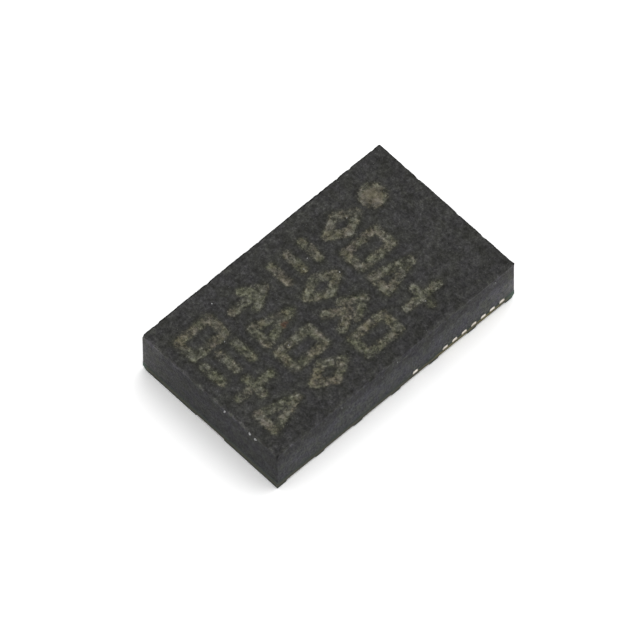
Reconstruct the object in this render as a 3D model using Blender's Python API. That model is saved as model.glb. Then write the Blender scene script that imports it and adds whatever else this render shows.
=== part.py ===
"""Accelerometer in a 14-land grid array package: a laminate substrate under a moulded cap,
sawn out of a strip, with an ASIC, a stacked sensor and their bond wires inside.

Every size is in millimetres, and each mesh is written in metres, +Z up. The origin is the
middle of the seating plane. +Y points to the end with the pin-one dot.
"""

import math

import bmesh
import bpy
from mathutils import Vector

MM = 0.001  # metres in a millimetre

# Package outline
BODY_WIDTH = 3.0
BODY_LENGTH = 5.0
BODY_HEIGHT = 0.95
TOUCH_GAP = 0.003  # left between the faces of neighbours, which touch on the real part

# Substrate layers, from the seating plane up
LAND_THICKNESS = 0.040
LAND_STANDOFF = 0.005  # how far a land stands below the bottom mask
CORE_THICKNESS = 0.075
COPPER_THICKNESS = 0.045
MASK_COVER = 0.015  # top mask over the copper

# Lands: numbered down the -X side from +Y, over the -Y end, up the +X side and over the +Y end
LAND_LENGTH = 0.813
LAND_WIDTH = 0.50
LAND_PITCH = 0.80
LAND_EDGE_SETBACK = 0.0835  # from a land's outer end to the sawn edge
LANDS_PER_SIDE = 6
MASK_OPENING_MARGIN = 0.06

# Top copper
VIA_SIDES = 12
VIA_RADIUS = 0.045
VIA_PAD_RADIUS = 0.070
VIA_TO_LAND_END = 0.3565  # from a land's outer end to the via's centre
TRACE_WIDTH = 0.035
FINGER_SIDE = 0.12
FINGER_MASK_MARGIN = 0.02
FINGER_TO_DIE = 0.19  # from the ASIC's edge to the finger's centre
FINGER_PAST_DIE_END = 0.12
STUB_WIDTH = 0.10
STUB_LENGTH = 0.06
STUB_PLACES = (0.404, 1.037, 1.2375, 1.4375, 1.642, 1.842, 2.033, 2.2375)  # along the +X wall
LANE_START = 0.11  # from the vias' centres to the first plating lane beside them
LANE_PITCH = 0.062
END_TRACE_DROP = 0.15  # how far the first end land's plating line goes out past its via

# Stack of dies
FILM_THICKNESS = 0.020
FILM_INSET = 0.02
ASIC_WIDTH = 1.40
ASIC_LENGTH = 3.00
ASIC_THICKNESS = 0.150
SENSOR_WIDTH = 1.00
SENSOR_LENGTH = 1.30
SENSOR_CENTRE_Y = 0.35
SENSOR_BASE_THICKNESS = 0.150
SENSOR_SHELF = 0.20  # bare strip of the base at its -Y end, for the bond pads
SENSOR_CAP_THICKNESS = 0.130
SEAL_WIDTH = 0.07
SEAL_HEIGHT = 0.030

# Sensing structure, all in one layer over the sensor base
STRUCTURE_THICKNESS = 0.014
STRUCTURE_LIFT = 0.008
ANCHOR_SIDE = 0.06
ROOM_TO_STRUCTURE = 0.02  # from the seal ring to the anchors and electrodes
MASS_LENGTH = 0.56
COMB_FINGERS = 10
COMB_FINGER_LENGTH = 0.10
COMB_FINGER_WIDTH = 0.012
COMB_PITCH = 0.050
COMB_TIP_GAP = 0.025
ELECTRODE_WIDTH = 0.05
SPRING_WIDTH = 0.010
SPRING_SPAN = 0.36

# Bond wires
WIRE_RADIUS = 0.0125
WIRE_SIDES = 6
BALL_RADIUS = 0.030
BALL_HEIGHT = 0.014
BALL_SHOULDER = 0.008
LOOP_HEIGHT = 0.090
STITCH_LENGTH = 0.030
PAD_INSET = 0.07  # from a die's edge to its bond pads
SENSOR_WIRES = 8
SENSOR_WIRE_PITCH = 0.11
SENSOR_WIRE_REACH = 0.14  # from the sensor's edge to the ASIC's inner pads

# Mould cap
TOP_ROUND = 0.030
TOP_ROUND_STEPS = 3
CHIP_REACH = 0.07  # how far a broken corner is gone along each edge
CHIPPED_TOP_CORNERS = ((-1, -1, 1),)  # sides of the body, in X, Y and Z
CHIPPED_FOOT_CORNERS = ((-1, -1, -1), (1, 1, -1))

# Laser marks on the top, sunk by the beam
MARK_DEPTH = 0.008
MARK_STROKE = 0.125
DOT_RADIUS = 0.22
DOT_SIDES = 24
DOT_CENTRE = (-0.888, 1.781)
MARK_COLUMNS = 4
MARK_ROWS = 4
MARK_COLUMN_PITCH = 0.594
MARK_ROW_PITCH = 0.985
MARK_FIRST = (-0.834, 1.077)  # centre of the mark in the first column of the top row
MARK_WIDTH = 0.50
MARK_HEIGHT = 0.77

# Heights worked out from the layers
CORE_TOP = LAND_THICKNESS + CORE_THICKNESS
COPPER_TOP = CORE_TOP + COPPER_THICKNESS
MASK_TOP = COPPER_TOP + MASK_COVER
ASIC_BOTTOM = MASK_TOP + FILM_THICKNESS
ASIC_TOP = ASIC_BOTTOM + ASIC_THICKNESS
SENSOR_BOTTOM = ASIC_TOP + FILM_THICKNESS
SENSOR_BASE_TOP = SENSOR_BOTTOM + SENSOR_BASE_THICKNESS
SEAL_TOP = SENSOR_BASE_TOP + SEAL_HEIGHT
SENSOR_TOP = SEAL_TOP + SENSOR_CAP_THICKNESS

# Places worked out in plan
HALF_WIDTH = BODY_WIDTH / 2
HALF_LENGTH = BODY_LENGTH / 2
LAND_X = HALF_WIDTH - LAND_EDGE_SETBACK - LAND_LENGTH / 2
LAND_Y = HALF_LENGTH - LAND_EDGE_SETBACK - LAND_LENGTH / 2
VIA_X = HALF_WIDTH - LAND_EDGE_SETBACK - VIA_TO_LAND_END
VIA_Y = HALF_LENGTH - LAND_EDGE_SETBACK - VIA_TO_LAND_END
FINGER_X = ASIC_WIDTH / 2 + FINGER_TO_DIE
FINGER_Y = ASIC_LENGTH / 2 + FINGER_PAST_DIE_END
END_FINGER_Y = ASIC_LENGTH / 2 + FINGER_TO_DIE
SENSOR_LOW_Y = SENSOR_CENTRE_Y - SENSOR_LENGTH / 2
SENSOR_HIGH_Y = SENSOR_CENTRE_Y + SENSOR_LENGTH / 2
ROOM_CENTRE_Y = (SENSOR_LOW_Y + SENSOR_SHELF + SENSOR_HIGH_Y) / 2
ROOM_HALF_WIDTH = SENSOR_WIDTH / 2 - SEAL_WIDTH
ROOM_HALF_LENGTH = (SENSOR_LENGTH - SENSOR_SHELF) / 2 - SEAL_WIDTH

CUT_PAST = 0.05  # how far a cutter runs past the face that it opens


def clear_scene():
    for thing in list(bpy.data.objects):
        bpy.data.objects.remove(thing)


def plain_material(name, colour, roughness, metallic=0.0):
    material = bpy.data.materials.new(name)
    material.use_nodes = True
    shader = material.node_tree.nodes["Principled BSDF"]
    shader.inputs["Base Color"].default_value = (*colour, 1.0)
    shader.inputs["Roughness"].default_value = roughness
    shader.inputs["Metallic"].default_value = metallic
    material.diffuse_color = (*colour, 1.0)
    return material


def add_prism(work, outline, low, high):
    """An upright prism between two heights, its outline anticlockwise in plan."""
    floor = [work.verts.new((x, y, low)) for x, y in outline]
    ceiling = [work.verts.new((x, y, high)) for x, y in outline]
    work.faces.new(floor[::-1])
    work.faces.new(ceiling)
    for k, corner in enumerate(floor):
        after = (k + 1) % len(floor)
        work.faces.new((corner, floor[after], ceiling[after], ceiling[k]))


def add_box(work, low, high):
    x0, y0, z0 = low
    x1, y1, z1 = high
    add_prism(work, ((x0, y0), (x1, y0), (x1, y1), (x0, y1)), z0, z1)


def add_disc(work, centre, radius, sides, low, high):
    turns = [2 * math.pi * (k + 0.5) / sides for k in range(sides)]
    outline = [
        (centre[0] + radius * math.cos(turn), centre[1] + radius * math.sin(turn)) for turn in turns
    ]
    add_prism(work, outline, low, high)


def add_bar(work, start, end, width, low, high):
    """A straight bar in plan, its ends running half its width past start and end."""
    along = (Vector(end) - Vector(start)).normalized() * width / 2
    across = Vector((-along.y, along.x))
    first = Vector(start) - along
    last = Vector(end) + along
    add_prism(work, (first - across, last - across, last + across, first + across), low, high)


def add_tube(work, path, radii, sides):
    """A tube along a path that lies in one upright plane, with flat ends."""
    side = Vector((0, 0, 1)).cross(path[-1] - path[0]).normalized()
    rings = []
    for k, point in enumerate(path):
        before = (point - path[max(k - 1, 0)]).normalized()
        after = (path[min(k + 1, len(path) - 1)] - point).normalized()
        normal = side.cross((before + after).normalized())
        turns = [2 * math.pi * j / sides for j in range(sides)]
        offsets = [side * math.cos(turn) + normal * math.sin(turn) for turn in turns]
        rings.append([work.verts.new(point + offset * radii[k]) for offset in offsets])
    for ring, following in zip(rings, rings[1:]):
        for j in range(sides):
            after = (j + 1) % sides
            work.faces.new((ring[j], following[j], following[after], ring[after]))
    work.faces.new(rings[0])
    work.faces.new(rings[-1][::-1])
    bmesh.ops.recalc_face_normals(work, faces=work.faces)


def add_corner_chip(work, sides):
    """A four-cornered cutter whose slanting face breaks one corner of the body away."""
    corner = Vector(sides) * Vector((HALF_WIDTH, HALF_LENGTH, BODY_HEIGHT))
    corner.z = max(corner.z, LAND_STANDOFF)
    tip = corner + Vector(sides) * CUT_PAST
    reach = CHIP_REACH + len(sides) * CUT_PAST
    feet = []
    for axis, side in enumerate(sides):
        foot = tip.copy()
        foot[axis] -= side * reach
        feet.append(work.verts.new(foot))
    peak = work.verts.new(tip)
    walls = [work.faces.new((peak, feet[k], feet[(k + 1) % 3])) for k in range(3)]
    slant = work.faces.new(feet[::-1])
    bmesh.ops.recalc_face_normals(work, faces=[*walls, slant])


def add_object(name, work, origin=(0, 0, 0)):
    """Turns shapes given in millimetres into an object in metres, with its origin where stated."""
    bmesh.ops.translate(work, verts=work.verts, vec=-Vector(origin))
    bmesh.ops.scale(work, verts=work.verts, vec=(MM, MM, MM))
    mesh = bpy.data.meshes.new(name)
    work.to_mesh(mesh)
    work.free()
    made = bpy.data.objects.new(name, mesh)
    made.location = Vector(origin) * MM
    bpy.context.scene.collection.objects.link(made)
    return made


def add_node(name, work, material, origin=(0, 0, 0)):
    node = add_object(name, work, origin)
    node.data.materials.append(material)
    node.parent = bpy.data.objects["accelerometer_chip"]
    return node


def combine(node, operation, work):
    """Joins or cuts a node with overlapping shapes, kept as a hidden wire object."""
    helper = add_object(f"{node.name}_{operation.lower()}", work)
    helper.hide_render = True
    helper.display_type = "WIRE"
    helper.parent = node.parent
    change = node.modifiers.new(helper.name, "BOOLEAN")
    change.operation = operation
    change.solver = "EXACT"
    change.use_self = True
    change.object = helper


def box_node(name, low, high, material):
    work = bmesh.new()
    add_box(work, low, high)
    centre = [(a + b) / 2 for a, b in zip(low[:2], high[:2])]
    return add_node(name, work, material, (*centre, low[2]))


# Terminals


def land_places():
    """Each land's centre and the direction, in plan, from the land to its sawn edge."""
    ys = [LAND_PITCH * (k - (LANDS_PER_SIDE - 1) / 2) for k in range(LANDS_PER_SIDE)]
    down = [((-LAND_X, y), (-1, 0)) for y in reversed(ys)]
    up = [((LAND_X, y), (1, 0)) for y in ys]
    return [*down, ((0, -LAND_Y), (0, -1)), *up, ((0, LAND_Y), (0, 1))]


def via_place(place, outward):
    if outward[0]:
        return (outward[0] * VIA_X, place[1])
    return (0, outward[1] * VIA_Y)


def finger_route(via, outward):
    """Plan points from a via to its bond finger, which is the last of them."""
    if not outward[0]:
        return [via, (0, outward[1] * END_FINGER_Y)]
    turn = (outward[0] * FINGER_X, via[1])
    if abs(via[1]) < ASIC_LENGTH / 2 - PAD_INSET:
        return [via, turn]
    return [via, turn, (turn[0], math.copysign(FINGER_Y, via[1]))]


def plating_route(number, via, outward):
    """Plan points from a via to the sawn edge, where the plating line ends in a stub.

    The -X side's lines run straight out. The others nest in lanes beside the vias of the +X
    side, so that none crosses another, and leave through that wall from the outermost lane in.
    """
    if outward[0] < 0:
        return [via, (-HALF_WIDTH, via[1])]
    order = number - LANDS_PER_SIDE - 1
    stub_y = STUB_PLACES[order]
    exit_point = (HALF_WIDTH, stub_y)
    lanes = sum(1 for (_, y), _ in land_places()[LANDS_PER_SIDE:] if y < STUB_PLACES[0] + LAND_WIDTH)
    if order < lanes:
        lane_x = VIA_X + LANE_START + LANE_PITCH * (lanes - 1 - order)
        start_y = via[1] if outward[0] else via[1] - END_TRACE_DROP
        return [via, (via[0], start_y), (lane_x, start_y), (lane_x, stub_y), exit_point]
    return [via, (via[0], stub_y), exit_point]


def add_route(work, route, grow):
    for start, end in zip(route, route[1:]):
        if (Vector(end) - Vector(start)).length > TRACE_WIDTH / 10:
            add_bar(work, start, end, TRACE_WIDTH + 2 * grow, CORE_TOP + TOUCH_GAP - grow, COPPER_TOP + grow)


def add_top_copper(work, number, place, outward, grow=0.0):
    """Via, pad, finger, traces and stub of one terminal, grown all round for a cutter."""
    low = CORE_TOP + TOUCH_GAP - grow
    high = COPPER_TOP + grow
    via = via_place(place, outward)
    to_finger = finger_route(via, outward)
    to_edge = plating_route(number, via, outward)
    inside_edge = Vector(to_edge[-1]) - Vector((math.copysign(TRACE_WIDTH / 2 + grow, to_edge[-1][0]), 0))
    add_disc(work, via, VIA_RADIUS + grow, VIA_SIDES, LAND_THICKNESS / 2, high)
    add_disc(work, via, VIA_PAD_RADIUS + grow, VIA_SIDES, low, high)
    add_route(work, to_finger, grow)
    add_route(work, [*to_edge[:-1], tuple(inside_edge)], grow)
    reach = FINGER_SIDE / 2 + grow
    x, y = to_finger[-1]
    add_box(work, (x - reach, y - reach, low), (x + reach, y + reach, high))
    add_stub(work, to_edge[-1], grow, low, high)


def add_stub(work, exit_point, grow, low, high):
    """The wide end of a plating line, cut flush with the wall, or run past it on a cutter."""
    side = math.copysign(1, exit_point[0])
    inner = side * (HALF_WIDTH - STUB_LENGTH - grow)
    outer = side * (HALF_WIDTH + (CUT_PAST if grow else 0))
    across = STUB_WIDTH / 2 + grow
    add_box(
        work,
        (min(inner, outer), exit_point[1] - across, low),
        (max(inner, outer), exit_point[1] + across, high),
    )


def build_terminals(material):
    for number, (place, outward) in enumerate(land_places(), start=1):
        land = bmesh.new()
        reach_x, reach_y = (LAND_LENGTH, LAND_WIDTH) if outward[0] else (LAND_WIDTH, LAND_LENGTH)
        low = (place[0] - reach_x / 2, place[1] - reach_y / 2, 0)
        high = (place[0] + reach_x / 2, place[1] + reach_y / 2, LAND_THICKNESS)
        add_box(land, low, high)
        node = add_node(f"terminal_{number:02d}", land, material, (*place, 0))
        copper = bmesh.new()
        add_top_copper(copper, number, place, outward)
        combine(node, "UNION", copper)


# Substrate layers


def add_foot_chips(work):
    for sides in CHIPPED_FOOT_CORNERS:
        add_corner_chip(work, sides)


def build_bottom_mask(material):
    """The lowest layer, open round each land and out to the sawn edge beside it."""
    mask = box_node(
        "solder_mask_bottom",
        (-HALF_WIDTH, -HALF_LENGTH, LAND_STANDOFF),
        (HALF_WIDTH, HALF_LENGTH, LAND_THICKNESS),
        material,
    )
    openings = bmesh.new()
    half_across = LAND_WIDTH / 2 + MASK_OPENING_MARGIN
    inward = LAND_LENGTH / 2 + MASK_OPENING_MARGIN
    past_edge = LAND_LENGTH / 2 + LAND_EDGE_SETBACK + CUT_PAST
    for place, outward in land_places():
        out = Vector(outward)
        start = Vector(place) - out * (inward - half_across)
        end = Vector(place) + out * (past_edge - half_across)
        add_bar(openings, start, end, 2 * half_across, -CUT_PAST, LAND_THICKNESS + CUT_PAST)
    add_foot_chips(openings)
    combine(mask, "DIFFERENCE", openings)


def build_core(material):
    core = box_node(
        "laminate_core",
        (-HALF_WIDTH, -HALF_LENGTH, LAND_THICKNESS + TOUCH_GAP),
        (HALF_WIDTH, HALF_LENGTH, CORE_TOP),
        material,
    )
    holes = bmesh.new()
    for place, outward in land_places():
        via = via_place(place, outward)
        add_disc(holes, via, VIA_RADIUS + TOUCH_GAP, VIA_SIDES, 0, CORE_TOP + CUT_PAST)
    add_foot_chips(holes)
    combine(core, "DIFFERENCE", holes)


def add_finger_windows(work, shrink, low, high):
    reach = FINGER_SIDE / 2 + FINGER_MASK_MARGIN - shrink
    for place, outward in land_places():
        x, y = finger_route(via_place(place, outward), outward)[-1]
        add_box(work, (x - reach, y - reach, low), (x + reach, y + reach, high))


def add_all_copper(work, grow):
    for number, (place, outward) in enumerate(land_places(), start=1):
        add_top_copper(work, number, place, outward, grow)


def build_top_mask(material):
    """The layer over the top copper, with a window at each bond finger."""
    mask = box_node(
        "solder_mask_top",
        (-HALF_WIDTH, -HALF_LENGTH, CORE_TOP + TOUCH_GAP),
        (HALF_WIDTH, HALF_LENGTH, MASK_TOP),
        material,
    )
    openings = bmesh.new()
    add_all_copper(openings, TOUCH_GAP)
    add_finger_windows(openings, 0, CORE_TOP, MASK_TOP + CUT_PAST)
    combine(mask, "DIFFERENCE", openings)


# Dies


def add_grown_box(work, low, high, grow):
    add_box(work, [value - grow for value in low], [value + grow for value in high])


def die_boxes():
    """Low and high corners of the stacked dies, from the substrate up."""
    half_x = SENSOR_WIDTH / 2
    return {
        "asic_die": (
            (-ASIC_WIDTH / 2, -ASIC_LENGTH / 2, ASIC_BOTTOM + TOUCH_GAP),
            (ASIC_WIDTH / 2, ASIC_LENGTH / 2, ASIC_TOP),
        ),
        "sensor_base": (
            (-half_x, SENSOR_LOW_Y, SENSOR_BOTTOM + TOUCH_GAP),
            (half_x, SENSOR_HIGH_Y, SENSOR_BASE_TOP),
        ),
        "sensor_cap": (
            (-half_x, SENSOR_LOW_Y + SENSOR_SHELF, SEAL_TOP + TOUCH_GAP),
            (half_x, SENSOR_HIGH_Y, SENSOR_TOP),
        ),
    }


def build_dies(silicon):
    for name, (low, high) in die_boxes().items():
        box_node(name, low, high, silicon)


def build_films(material):
    """An adhesive film under each die, a little smaller than the die."""
    for name, die, top in (
        ("asic_attach_film", "asic_die", ASIC_BOTTOM),
        ("sensor_attach_film", "sensor_base", SENSOR_BOTTOM),
    ):
        low, high = die_boxes()[die]
        box_node(
            name,
            (low[0] + FILM_INSET, low[1] + FILM_INSET, top - FILM_THICKNESS + TOUCH_GAP),
            (high[0] - FILM_INSET, high[1] - FILM_INSET, top),
            material,
        )


def build_seal_ring(glass):
    low, high = die_boxes()["sensor_cap"]
    ring = box_node(
        "seal_ring",
        (low[0], low[1], SENSOR_BASE_TOP + TOUCH_GAP),
        (high[0], high[1], SEAL_TOP),
        glass,
    )
    room = bmesh.new()
    add_box(
        room,
        (-ROOM_HALF_WIDTH, ROOM_CENTRE_Y - ROOM_HALF_LENGTH, SENSOR_BASE_TOP - CUT_PAST),
        (ROOM_HALF_WIDTH, ROOM_CENTRE_Y + ROOM_HALF_LENGTH, SEAL_TOP + CUT_PAST),
    )
    combine(ring, "DIFFERENCE", room)


# Sensing structure


STRUCTURE_LOW = SENSOR_BASE_TOP + STRUCTURE_LIFT
STRUCTURE_HIGH = STRUCTURE_LOW + STRUCTURE_THICKNESS
ELECTRODE_OUTER_X = ROOM_HALF_WIDTH - ROOM_TO_STRUCTURE
MASS_HALF_WIDTH = ELECTRODE_OUTER_X - ELECTRODE_WIDTH - COMB_TIP_GAP - COMB_FINGER_LENGTH
ANCHOR_Y = ROOM_HALF_LENGTH - ROOM_TO_STRUCTURE - ANCHOR_SIDE / 2


def comb_places(fingers, pitch):
    return [ROOM_CENTRE_Y + pitch * (k - (fingers - 1) / 2) for k in range(fingers)]


def add_layer_bar(work, start, end, width):
    add_bar(work, start, end, width, STRUCTURE_LOW, STRUCTURE_HIGH)


def add_anchor(work, x, y):
    half = ANCHOR_SIDE / 2
    add_box(
        work,
        (x - half, y - half, SENSOR_BASE_TOP + TOUCH_GAP),
        (x + half, y + half, STRUCTURE_HIGH),
    )


def build_proof_mass(silicon):
    """The plate that shifts by nanometres, with its finger combs, springs and two anchors."""
    mass = box_node(
        "proof_mass",
        (-MASS_HALF_WIDTH, ROOM_CENTRE_Y - MASS_LENGTH / 2, STRUCTURE_LOW),
        (MASS_HALF_WIDTH, ROOM_CENTRE_Y + MASS_LENGTH / 2, STRUCTURE_HIGH),
        silicon,
    )
    rest = bmesh.new()
    for side in (-1, 1):
        for y in comb_places(COMB_FINGERS, COMB_PITCH):
            tip = side * (MASS_HALF_WIDTH + COMB_FINGER_LENGTH - COMB_FINGER_WIDTH / 2)
            add_layer_bar(rest, (side * MASS_HALF_WIDTH / 2, y), (tip, y), COMB_FINGER_WIDTH)
        add_spring(rest, side)
        add_anchor(rest, 0, ROOM_CENTRE_Y + side * ANCHOR_Y)
    combine(mass, "UNION", rest)


def add_spring(work, side):
    """A folded spring: a post out of the plate, a long beam, two short ends and the anchor's beam."""
    plate_y = ROOM_CENTRE_Y + side * MASS_LENGTH / 2
    anchor_y = ROOM_CENTRE_Y + side * ANCHOR_Y
    near_y = plate_y + (anchor_y - plate_y) / 3
    half = SPRING_SPAN / 2
    inside_plate = plate_y - side * SPRING_WIDTH
    add_layer_bar(work, (0, inside_plate), (0, near_y), SPRING_WIDTH * 2)
    add_layer_bar(work, (-half, near_y), (half, near_y), SPRING_WIDTH)
    add_layer_bar(work, (-half, anchor_y), (half, anchor_y), SPRING_WIDTH)
    for x in (-half, half):
        add_layer_bar(work, (x, near_y), (x, anchor_y), SPRING_WIDTH)


def build_electrode(name, side, silicon):
    """One fixed comb, its fingers between those of the plate."""
    outer = side * ELECTRODE_OUTER_X
    inner = side * (ELECTRODE_OUTER_X - ELECTRODE_WIDTH)
    half_length = COMB_PITCH * COMB_FINGERS / 2
    spine = box_node(
        name,
        (min(outer, inner), ROOM_CENTRE_Y - half_length, SENSOR_BASE_TOP + TOUCH_GAP),
        (max(outer, inner), ROOM_CENTRE_Y + half_length, STRUCTURE_HIGH),
        silicon,
    )
    fingers = bmesh.new()
    tip = side * (MASS_HALF_WIDTH + COMB_TIP_GAP + COMB_FINGER_WIDTH / 2)
    for y in comb_places(COMB_FINGERS - 1, COMB_PITCH):
        add_layer_bar(fingers, ((outer + inner) / 2, y), (tip, y), COMB_FINGER_WIDTH)
    combine(spine, "UNION", fingers)


# Bond wires


def wire_ends():
    """Name, ball and stitch of each bond wire: the ball on a die, the stitch on a finger or a pad."""
    ends = {}
    for number, (place, outward) in enumerate(land_places(), start=1):
        finger = finger_route(via_place(place, outward), outward)[-1]
        pad_x = outward[0] * (ASIC_WIDTH / 2 - PAD_INSET)
        pad_limit = ASIC_LENGTH / 2 - PAD_INSET
        pad_y = min(max(finger[1], -pad_limit), pad_limit)
        ends[f"pin_wire_{number:02d}"] = (
            Vector((pad_x, pad_y, ASIC_TOP)),
            Vector((*finger, COPPER_TOP)),
        )
    for k in range(SENSOR_WIRES):
        x = SENSOR_WIRE_PITCH * (k - (SENSOR_WIRES - 1) / 2)
        ends[f"sensor_wire_{k + 1}"] = (
            Vector((x, SENSOR_LOW_Y + PAD_INSET, SENSOR_BASE_TOP)),
            Vector((x, SENSOR_LOW_Y - SENSOR_WIRE_REACH, ASIC_TOP)),
        )
    return ends


def add_wire(work, ball, stitch, grow=0.0):
    """Ball, rising neck, low loop and flat stitch of one wire, grown all round for its tunnel."""
    base = ball + Vector((0, 0, TOUCH_GAP - 2 * grow))
    landing = stitch + Vector((0, 0, TOUCH_GAP + WIRE_RADIUS * math.sin(math.pi / 3)))
    across = (stitch - ball) * Vector((1, 1, 0))
    heading = across.normalized()
    top = ball.z + LOOP_HEIGHT
    shoulder = ball.z + BALL_HEIGHT + BALL_SHOULDER

    def loop_point(share, height):
        return Vector((ball.x, ball.y, height)) + across * share

    path = [
        base,
        loop_point(0, ball.z + BALL_HEIGHT + grow),
        loop_point(0, shoulder + grow),
        loop_point(0, top - 2 * WIRE_RADIUS),
        loop_point(0.12, top),
        loop_point(0.45, top - WIRE_RADIUS),
        loop_point(0.80, (top + landing.z) / 2 - WIRE_RADIUS),
        landing,
        landing + heading * (STITCH_LENGTH + grow),
    ]
    radii = [BALL_RADIUS + grow] * 2 + [WIRE_RADIUS + grow] * (len(path) - 2)
    add_tube(work, path, radii, WIRE_SIDES)


def build_wires(gold):
    for name, (ball, stitch) in wire_ends().items():
        work = bmesh.new()
        add_wire(work, ball, stitch)
        add_node(name, work, gold, ball)


# Mould cap


def rounded_cap():
    """A block whose top edges are rounded by a quarter arc, drawn as rings from the foot up."""
    work = bmesh.new()
    levels = [(MASK_TOP + TOUCH_GAP, 0.0)]
    for step in range(TOP_ROUND_STEPS + 1):
        turn = math.pi / 2 * step / TOP_ROUND_STEPS
        drop = TOP_ROUND * (1 - math.sin(turn))
        levels.append((BODY_HEIGHT - drop, TOP_ROUND * (1 - math.cos(turn))))
    rings = []
    for height, inset in levels:
        x = HALF_WIDTH - inset
        y = HALF_LENGTH - inset
        corners = ((-x, -y), (x, -y), (x, y), (-x, y))
        rings.append([work.verts.new((*corner, height)) for corner in corners])
    for ring, above in zip(rings, rings[1:]):
        for k in range(4):
            after = (k + 1) % 4
            work.faces.new((ring[k], ring[after], above[after], above[k]))
    work.faces.new(rings[0][::-1])
    work.faces.new(rings[-1])
    return work


def add_hollows(work):
    """Room in the moulding for the copper, dies and wires that it was moulded around."""
    grow = TOUCH_GAP
    boxes = die_boxes()
    asic_low, asic_high = boxes["asic_die"]
    base_low, base_high = boxes["sensor_base"]
    cap_low, cap_high = boxes["sensor_cap"]
    add_grown_box(work, (*asic_low[:2], MASK_TOP - CUT_PAST), asic_high, grow)
    add_grown_box(work, (*base_low[:2], ASIC_TOP - CUT_PAST), base_high, grow)
    add_grown_box(work, (*cap_low[:2], SENSOR_BASE_TOP - CUT_PAST), cap_high, grow)
    for ball, stitch in wire_ends().values():
        add_wire(work, ball, stitch, grow)


# Each mark is a list of strokes in a cell that runs from -1 to 1 both ways.
MARK_SHAPES = {
    "square": (((-1, -1), (1, -1)), ((1, -1), (1, 1)), ((1, 1), (-1, 1)), ((-1, 1), (-1, -1))),
    "triangle": (((-1, -1), (1, -1)), ((1, -1), (0, 1)), ((0, 1), (-1, -1))),
    "diamond": (((0, -1), (1, 0)), ((1, 0), (0, 1)), ((0, 1), (-1, 0)), ((-1, 0), (0, -1))),
    "bars": (((-1, -1), (1, -1)), ((-1, 0), (1, 0)), ((-1, 1), (1, 1))),
    "plus": (((-1, 0), (1, 0)), ((0, -1), (0, 1))),
    "chevrons": (((-1, 0), (0, 1)), ((0, 1), (1, 0)), ((-1, -1), (0, 0)), ((0, 0), (1, -1))),
    "arrow": (((0, -1), (0, 1)), ((-1, 0), (0, 1)), ((0, 1), (1, 0))),
}
MARK_LAYOUT = (
    ("diamond", "square", "triangle", "plus"),
    ("bars", "diamond", "chevrons", "square"),
    ("arrow", "triangle", "square", "diamond"),
    ("square", "bars", "plus", "triangle"),
)


def add_marks(work):
    """The pin-one dot and four rows of plain figures."""
    low = BODY_HEIGHT - MARK_DEPTH
    high = BODY_HEIGHT + CUT_PAST
    add_disc(work, DOT_CENTRE, DOT_RADIUS, DOT_SIDES, low, high)
    half = Vector(((MARK_WIDTH - MARK_STROKE) / 2, (MARK_HEIGHT - MARK_STROKE) / 2))
    for row in range(MARK_ROWS):
        for column in range(MARK_COLUMNS):
            centre = Vector(MARK_FIRST) + Vector((column * MARK_COLUMN_PITCH, -row * MARK_ROW_PITCH))
            for start, end in MARK_SHAPES[MARK_LAYOUT[row][column]]:
                first = centre + Vector(start) * half
                last = centre + Vector(end) * half
                add_bar(work, first, last, MARK_STROKE, low, high)


def build_mould_cap(material):
    cap = add_node("mould_cap", rounded_cap(), material)
    plugs = bmesh.new()
    add_finger_windows(plugs, TOUCH_GAP, CORE_TOP + TOUCH_GAP, MASK_TOP + 2 * TOUCH_GAP)
    combine(cap, "UNION", plugs)
    hollows = bmesh.new()
    add_all_copper(hollows, TOUCH_GAP)
    add_hollows(hollows)
    add_marks(hollows)
    for sides in CHIPPED_TOP_CORNERS:
        add_corner_chip(hollows, sides)
    combine(cap, "DIFFERENCE", hollows)


def build_chip():
    clear_scene()
    root = bpy.data.objects.new("accelerometer_chip", None)
    bpy.context.scene.collection.objects.link(root)
    plating = plain_material("gold_plated_copper", (0.62, 0.55, 0.44), 0.35, 1.0)
    mask_ink = plain_material("solder_mask", (0.020, 0.045, 0.030), 0.45)
    laminate = plain_material("glass_epoxy", (0.105, 0.095, 0.040), 0.65)
    moulding = plain_material("mould_compound", (0.045, 0.045, 0.045), 0.70)
    silicon = plain_material("silicon", (0.18, 0.18, 0.20), 0.25, 0.6)
    adhesive = plain_material("die_attach_film", (0.45, 0.38, 0.25), 0.60)
    glass = plain_material("seal_glass", (0.30, 0.33, 0.30), 0.30)
    gold = plain_material("gold_wire", (0.90, 0.68, 0.30), 0.25, 1.0)

    build_terminals(plating)
    build_bottom_mask(mask_ink)
    build_core(laminate)
    build_top_mask(mask_ink)
    build_films(adhesive)
    build_dies(silicon)
    build_seal_ring(glass)
    build_proof_mass(silicon)
    build_electrode("electrode_left", -1, silicon)
    build_electrode("electrode_right", 1, silicon)
    build_wires(gold)
    build_mould_cap(moulding)


build_chip()
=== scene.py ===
"""Looks of the accelerometer chip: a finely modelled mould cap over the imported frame, procedural
materials on every piece, and the photograph's view. Sizes are in millimetres unless they say so."""

import math
import random

import bmesh
import bpy
import numpy as np
from mathutils import Matrix, Vector, noise

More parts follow.
